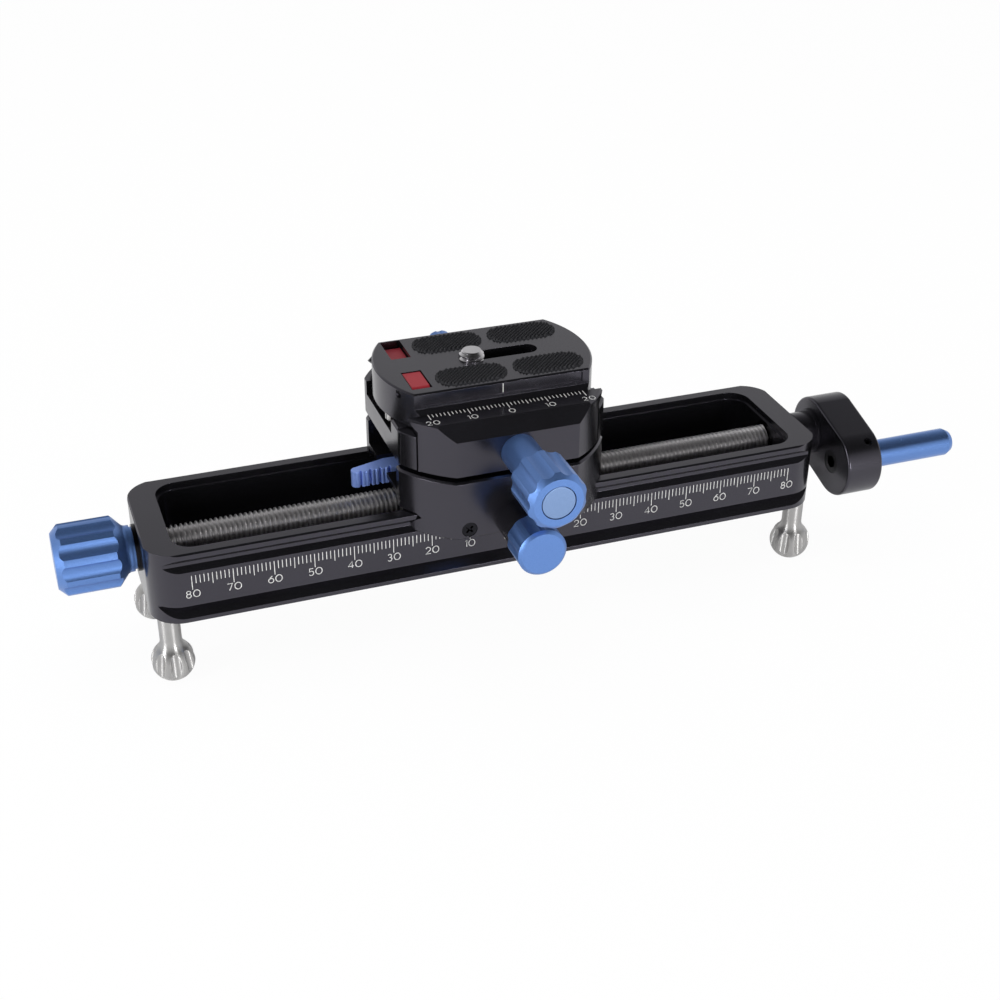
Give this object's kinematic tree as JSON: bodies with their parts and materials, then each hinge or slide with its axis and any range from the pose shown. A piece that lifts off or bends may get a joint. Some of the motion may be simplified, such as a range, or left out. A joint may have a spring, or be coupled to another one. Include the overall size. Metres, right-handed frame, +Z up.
{
  "type": "macro focusing rail",
  "caption": "Screw-driven macro focusing rail with a V-guided carriage, quick-release half nut, turning clamp and slotted camera plate.",
  "frame": {"origin": "mouth of the middle tripod socket, in the plane of the rail's underside", "axes": "+X along the rail towards the crank, -Y towards the scale side, +Z up towards the camera plate"},
  "size_m": [0.2445, 0.0903, 0.0705],
  "materials": {
    "anodised_black": "fine-blasted, black anodised",
    "anodised_blue": "turned, blue anodised, satin",
    "anodised_blue_cap": "turned flat, pale blue anodised",
    "stainless_steel": "turned stainless, satin",
    "screw_steel": "rolled stainless thread, semi-bright",
    "spring_steel": "drawn wire",
    "dark_steel": "black-oxide steel, satin",
    "bronze": "turned bearing bronze",
    "acetal": "machined, matt",
    "rubber": "moulded, matt, ridged",
    "red_front": "red anodised, satin",
    "red_rear": "red anodised, satin, in shade"
  },
  "bodies": {
    "rail": {"rail_frame": "anodised_black", "screw_bush_left": "dark_steel", "screw_bush_right": "dark_steel", "foot_front_left": "stainless_steel", "foot_front_right": "stainless_steel", "foot_rear_left": "stainless_steel", "foot_rear_right": "stainless_steel"},
    "screw": {"lead_screw": "screw_steel", "thrust_washer_left": "stainless_steel", "thrust_washer_right": "stainless_steel", "left_knob": "anodised_blue", "left_knob_set_screw": "dark_steel", "crank_collar": "anodised_black", "crank_arm": "anodised_black", "crank_set_screw": "dark_steel", "handle_axle": "dark_steel", "handle_clip": "stainless_steel"},
    "handle": {"crank_handle": "anodised_blue"},
    "carriage": {"carriage_block": "anodised_black", "front_gib": "acetal", "gib_screws": "dark_steel", "lock_bush": "anodised_black", "lever_pin": "stainless_steel", "nut_spring": "spring_steel", "pan_bearing_ring": "acetal", "pan_bolt": "dark_steel"},
    "lock_knob": {"lock_knob": "anodised_blue", "lock_stud": "dark_steel"},
    "release_lever": {"release_lever": "anodised_blue"},
    "half_nut": {"half_nut": "bronze"},
    "clamp": {"clamp_body": "anodised_black", "jaw_guide_pins": "stainless_steel", "jaw_springs": "spring_steel"},
    "front_jaw": {"front_jaw": "anodised_black"},
    "clamp_knob": {"clamp_knob": "anodised_blue", "clamp_knob_cap": "anodised_blue_cap", "clamp_stud": "dark_steel"},
    "pan_lock": {"pan_lock_knob": "anodised_blue", "pan_lock_stud": "dark_steel", "pan_lock_shoe": "bronze"},
    "plate": {"camera_plate": "anodised_black", "plate_pad_front_left": "rubber", "plate_pad_front_right": "rubber", "plate_pad_rear_left": "rubber", "plate_pad_rear_right": "rubber", "plate_stop_screws": "stainless_steel", "flag_pins": "dark_steel"},
    "screw_washer": {"camera_screw_washer": "acetal"},
    "camera_screw": {"camera_screw": "stainless_steel"},
    "front_flag": {"front_flag": "red_front"},
    "rear_flag": {"rear_flag": "red_rear"}
  },
  "joints": [
    {"name": "screw_turn", "type": "hinge", "parent": "rail", "child": "screw", "pos_m": [0, 0, 0.012], "axis": [1, 0, 0], "range_deg": [-15850, 15850]},
    {"name": "handle_spin", "type": "hinge", "parent": "screw", "child": "handle", "pos_m": [0.12, -0.01241, 0.00849], "axis": [1, 0, 0], "continuous": true},
    {"name": "carriage_slide", "type": "slide", "parent": "rail", "child": "carriage", "axis": [1, 0, 0], "range_m": [-0.055, 0.055]},
    {"name": "lock_turn", "type": "hinge", "parent": "carriage", "child": "lock_knob", "pos_m": [0, -0.035, 0.0176], "axis": [0, -1, 0], "range_deg": [0, 360]},
    {"name": "lever_swing", "type": "hinge", "parent": "carriage", "child": "release_lever", "pos_m": [-0.0155, 0, 0.0218], "axis": [0, 0, 1], "range_deg": [-10.05, 0], "stiffness_Nm_per_rad": 0.08, "springref_deg": 17.19},
    {"name": "nut_slide", "type": "slide", "parent": "carriage", "child": "half_nut", "axis": [0, -1, 0], "range_m": [0, 0.00122], "deforming": ["nut_spring"]},
    {"name": "clamp_turn", "type": "hinge", "parent": "carriage", "child": "clamp", "pos_m": [0, 0, 0.0335], "axis": [0, 0, 1], "continuous": true},
    {"name": "clamp_knob_turn", "type": "hinge", "parent": "front_jaw", "child": "clamp_knob", "pos_m": [0, -0.04, 0.0366], "axis": [0, -1, 0], "range_deg": [0, 905]},
    {"name": "jaw_slide", "type": "slide", "parent": "clamp", "child": "front_jaw", "axis": [0, -1, 0], "range_m": [0, 0.0025]},
    {"name": "pan_lock_turn", "type": "hinge", "parent": "clamp", "child": "pan_lock", "pos_m": [0, 0.03, 0.037], "axis": [0, 1, 0], "range_deg": [0, 360]},
    {"name": "plate_slide", "type": "slide", "parent": "clamp", "child": "plate", "axis": [1, 0, 0], "range_m": [-0.0178, 0.0184]},
    {"name": "camera_screw_turn", "type": "hinge", "parent": "screw_washer", "child": "camera_screw", "pos_m": [-0.003, 0, 0.0455], "axis": [0, 0, 1], "range_deg": [0, 800]},
    {"name": "camera_screw_lift", "type": "slide", "parent": "plate", "child": "screw_washer", "axis": [0, 0, 1], "range_m": [0, 0.0028]},
    {"name": "front_flag_flip", "type": "hinge", "parent": "plate", "child": "front_flag", "pos_m": [-0.02, -0.01125, 0.04855], "axis": [1, 0, 0], "range_deg": [0, 90]},
    {"name": "rear_flag_flip", "type": "hinge", "parent": "plate", "child": "rear_flag", "pos_m": [-0.02, 0.01315, 0.04735], "axis": [-1, 0, 0], "range_deg": [0, 90]}
  ],
  "couplings": [
    {"joint": "screw_turn", "follows": "carriage_slide", "rad_per_m": -5026.5},
    {"joint": "lever_swing", "follows": "nut_slide", "rad_per_m": -143.59},
    {"joint": "clamp_knob_turn", "follows": "jaw_slide", "rad_per_m": 6283.2},
    {"joint": "camera_screw_turn", "follows": "camera_screw_lift", "rad_per_m": 4947.4}
  ]
}
